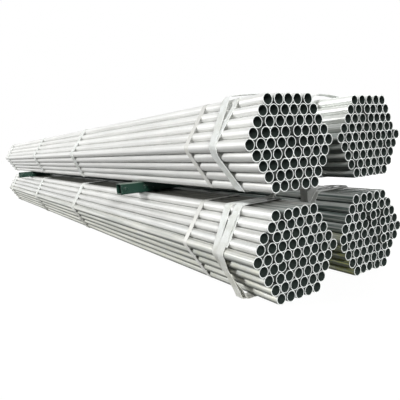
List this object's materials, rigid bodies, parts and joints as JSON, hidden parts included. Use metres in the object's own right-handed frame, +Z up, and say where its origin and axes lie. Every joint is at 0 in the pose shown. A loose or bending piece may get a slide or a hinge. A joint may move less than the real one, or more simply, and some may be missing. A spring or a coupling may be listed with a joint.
{
  "type": "stack of steel tubes",
  "caption": "Long galvanised steel tubes in hexagonal bundles, strapped with webbing slings and steel bands, in two layers kept apart by green bearers.",
  "frame": {"origin": "bottom centre of the whole stack's box, on the floor under the slings of the lower bundles", "axes": "+Y along the tubes, from their near ends to their far ends; +Z up; X across the stack"},
  "size_m": [1.0434, 6.039, 0.8415],
  "materials": {
    "galvanised_tube": "hot-dip galvanised, pale grey, faint spangle, white cut rims, dull inside",
    "sling_webbing": "off-white woven polyester webbing, slightly soiled",
    "steel_band": "thin zinc-coated strapping, satin",
    "bearer_paint": "dark green paint, satin, worn along the edges"
  },
  "bodies": {
    "root": {"upper_left_tube_row_1": "galvanised_tube", "upper_left_tube_row_2": "galvanised_tube", "upper_left_tube_row_3": "galvanised_tube", "upper_left_tube_row_4": "galvanised_tube", "upper_left_tube_row_5": "galvanised_tube", "upper_left_tube_row_6": "galvanised_tube", "upper_left_tube_row_7": "galvanised_tube", "upper_left_tube_row_8": "galvanised_tube", "upper_left_tube_row_9": "galvanised_tube", "upper_left_sling_1": "sling_webbing", "upper_left_sling_2": "sling_webbing", "upper_left_sling_3": "sling_webbing", "upper_left_sling_4": "sling_webbing", "upper_left_band": "steel_band", "upper_right_tube_row_1": "galvanised_tube", "upper_right_tube_row_2": "galvanised_tube", "upper_right_tube_row_3": "galvanised_tube", "upper_right_tube_row_4": "galvanised_tube", "upper_right_tube_row_5": "galvanised_tube", "upper_right_tube_row_6": "galvanised_tube", "upper_right_tube_row_7": "galvanised_tube", "upper_right_tube_row_8": "galvanised_tube", "upper_right_tube_row_9": "galvanised_tube", "upper_right_sling_1": "sling_webbing", "upper_right_sling_2": "sling_webbing", "upper_right_sling_3": "sling_webbing", "upper_right_sling_4": "sling_webbing", "upper_right_band": "steel_band", "lower_left_tube_row_1": "galvanised_tube", "lower_left_tube_row_2": "galvanised_tube", "lower_left_tube_row_3": "galvanised_tube", "lower_left_tube_row_4": "galvanised_tube", "lower_left_tube_row_5": "galvanised_tube", "lower_left_tube_row_6": "galvanised_tube", "lower_left_tube_row_7": "galvanised_tube", "lower_left_tube_row_8": "galvanised_tube", "lower_left_tube_row_9": "galvanised_tube", "lower_left_sling_1": "sling_webbing", "lower_left_sling_2": "sling_webbing", "lower_left_sling_3": "sling_webbing", "lower_left_sling_4": "sling_webbing", "lower_left_band": "steel_band", "lower_right_tube_row_1": "galvanised_tube", "lower_right_tube_row_2": "galvanised_tube", "lower_right_tube_row_3": "galvanised_tube", "lower_right_tube_row_4": "galvanised_tube", "lower_right_tube_row_5": "galvanised_tube", "lower_right_tube_row_6": "galvanised_tube", "lower_right_tube_row_7": "galvanised_tube", "lower_right_tube_row_8": "galvanised_tube", "lower_right_tube_row_9": "galvanised_tube", "lower_right_sling_1": "sling_webbing", "lower_right_sling_2": "sling_webbing", "lower_right_sling_3": "sling_webbing", "lower_right_sling_4": "sling_webbing", "lower_right_band": "steel_band", "near_bearer": "bearer_paint", "far_bearer": "bearer_paint"}
  },
  "joints": []
}
